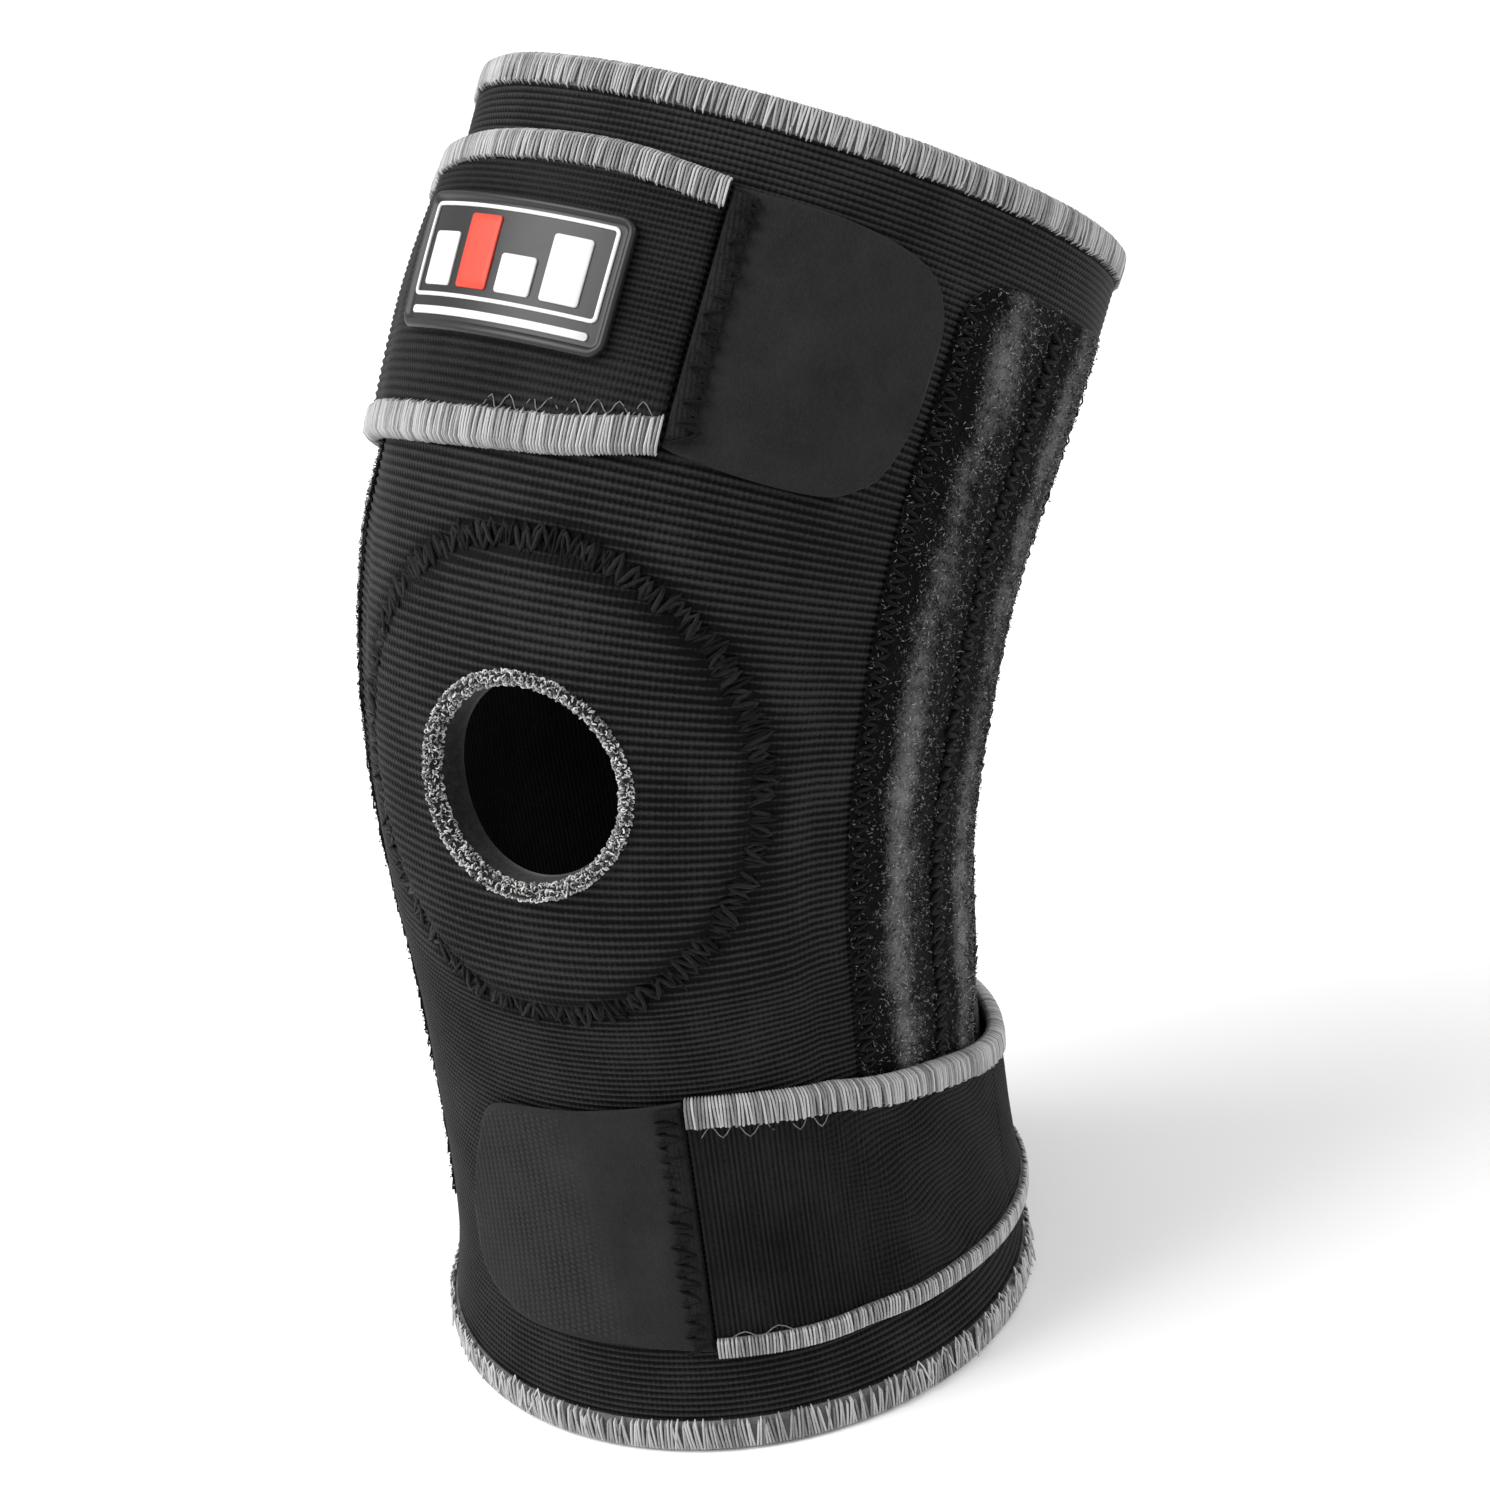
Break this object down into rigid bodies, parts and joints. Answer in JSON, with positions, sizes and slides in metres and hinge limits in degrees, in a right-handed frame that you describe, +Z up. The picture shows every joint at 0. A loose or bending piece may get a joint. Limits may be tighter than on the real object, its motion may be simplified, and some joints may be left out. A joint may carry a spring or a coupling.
{
  "type": "knee brace",
  "caption": "Open-back neoprene knee brace with a kneecap opening, sprung side stays and hook-and-loop straps above and below the knee.",
  "frame": {"origin": "on the floor, under the middle of the brace's bounding box", "axes": "+Z up, the calf stands along +Z on its hem; -Y is the shin side, +Y the back of the knee; the thigh leans back towards +Y and 12 degrees towards +X; +X is the viewer's right when facing the shin"},
  "size_m": [0.1504, 0.1808, 0.2783],
  "materials": {
    "knit": "black ribbed jersey laminated on neoprene foam, matt",
    "lining": "black knitted lining, matt",
    "plush": "black loop-pile fabric, soft sheen at grazing angles",
    "tape": "grey ribbed edging tape, matt",
    "boucle": "grey, white and black looped overlock yarn",
    "hook_tape": "dark grey hook tape backing, low sheen",
    "strap_knit": "black ribbed jersey on foam, matt",
    "rubber": "black moulded rubber, satin",
    "pale_rubber": "pale grey moulded rubber, satin",
    "red_rubber": "orange-red moulded rubber, satin",
    "spring_steel": "spring steel, bright"
  },
  "bodies": {
    "calf": {"calf_panel": "knit", "knee_panel": "knit", "kneecap_pad": "lining", "kneecap_binding": "boucle", "hem_binding": "tape", "calf_back_binding_right": "tape", "calf_back_binding_left": "tape", "knee_back_binding_right": "tape", "knee_back_binding_left": "tape", "side_casing_right": "plush", "side_casing_left": "plush", "stay_right_front": "spring_steel", "stay_right_rear": "spring_steel", "stay_left_front": "spring_steel", "stay_left_rear": "spring_steel", "lower_strap_back": "strap_knit", "lower_strap_back_lower_tape": "tape", "lower_strap_back_upper_tape": "tape"},
    "thigh": {"thigh_panel": "knit", "top_binding": "tape", "thigh_back_binding_right": "tape", "thigh_back_binding_left": "tape", "upper_strap_back": "strap_knit", "upper_strap_back_lower_tape": "tape", "upper_strap_back_upper_tape": "tape"},
    "upper_strap_end": {"upper_strap": "strap_knit", "upper_strap_lower_tape": "tape", "upper_strap_upper_tape": "tape", "badge_plate": "rubber", "badge_rim": "rubber", "badge_frame": "pale_rubber", "badge_bar_1": "pale_rubber", "badge_bar_2": "red_rubber", "badge_bar_3": "pale_rubber", "badge_bar_4": "pale_rubber", "badge_bar_5": "pale_rubber"},
    "upper_tab_end": {"upper_tab": "hook_tape", "upper_tab_hooks": "hook_tape"},
    "lower_strap_end": {"lower_strap": "strap_knit", "lower_strap_lower_tape": "tape", "lower_strap_upper_tape": "tape"},
    "lower_tab_end": {"lower_tab": "hook_tape", "lower_tab_hooks": "hook_tape"}
  },
  "joints": [
    {"name": "knee_flexion", "type": "hinge", "parent": "calf", "child": "thigh", "pos_m": [-0.00655, -0.02525, 0.1524], "axis": [-0.9781, 0.2079, 0], "range_deg": [-36, 30], "stiffness_Nm_per_rad": 1, "springref_deg": -1.72, "deforming": ["knee_panel", "kneecap_pad", "kneecap_binding", "knee_back_binding_right", "knee_back_binding_left", "side_casing_right", "side_casing_left", "stay_right_front", "stay_right_rear", "stay_left_front", "stay_left_rear"]},
    {"name": "upper_strap_lift", "type": "hinge", "parent": "thigh", "child": "upper_strap_end", "pos_m": [-0.07307, 0.01167, 0.20415], "axis": [-0.0814, -0.5671, -0.8196], "range_deg": [0, 90]},
    {"name": "upper_tab_peel", "type": "hinge", "parent": "upper_strap_end", "child": "upper_tab_end", "pos_m": [0.02586, -0.04698, 0.23993], "axis": [-0.1338, -0.5488, -0.8252], "range_deg": [0, 140]},
    {"name": "lower_strap_lift", "type": "hinge", "parent": "calf", "child": "lower_strap_end", "pos_m": [0.05669, -0.01413, 0.04083], "axis": [-0.043, -0.0076, 0.999], "range_deg": [0, 75]},
    {"name": "lower_tab_peel", "type": "hinge", "parent": "lower_strap_end", "child": "lower_tab_end", "pos_m": [0.01928, -0.08255, 0.053], "axis": [-0.0037, 0.0083, 1], "range_deg": [0, 140]}
  ]
}
